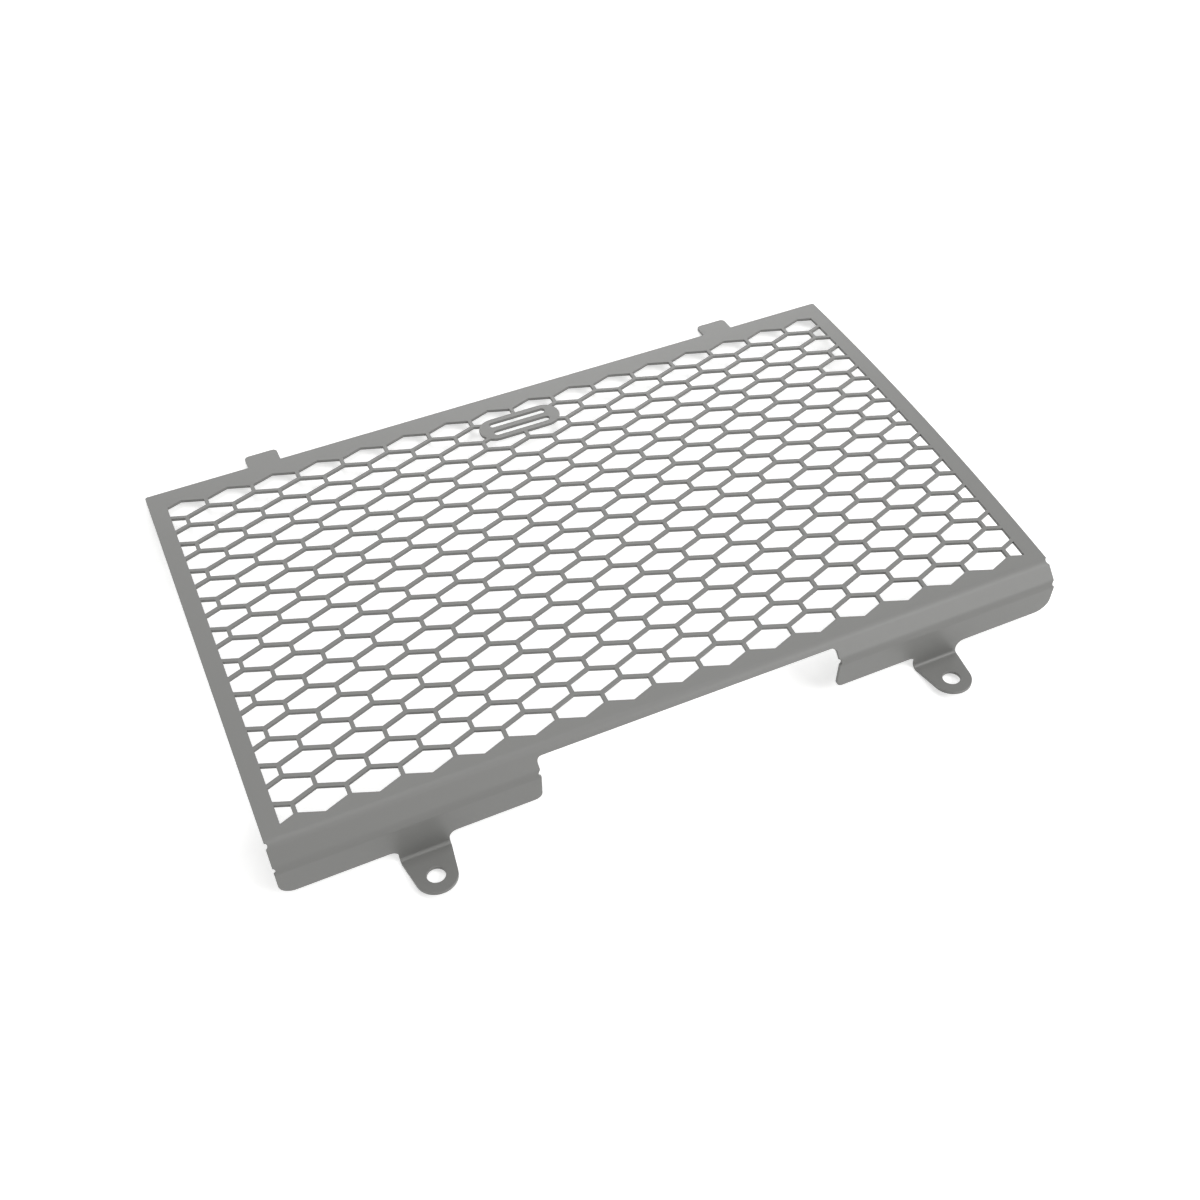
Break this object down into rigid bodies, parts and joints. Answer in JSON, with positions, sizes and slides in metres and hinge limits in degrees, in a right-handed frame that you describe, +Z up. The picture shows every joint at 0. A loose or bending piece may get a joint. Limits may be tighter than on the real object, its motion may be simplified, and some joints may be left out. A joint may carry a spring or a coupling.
{
  "type": "motorcycle radiator guard",
  "caption": "Folded sheet-metal radiator guard with a field of hexagon openings, two locating tabs, flanges and bent-out mounting ears.",
  "frame": {"origin": "bottom centre of the bounding box: on the mirror plane, halfway between the tab tips and the ear tips, level with the table it rests on", "axes": "+X along the fold, +Y towards the edge with the tabs, +Z up and out of the outer face of the panel; the guard lies as it rests, on the tips of its tabs and on the bends of its ears"},
  "size_m": [0.2944, 0.205, 0.0252],
  "materials": {
    "guard_sheet": "satin grey coat on sheet metal"
  },
  "bodies": {
    "root": {"guard_sheet": "guard_sheet"}
  },
  "joints": []
}
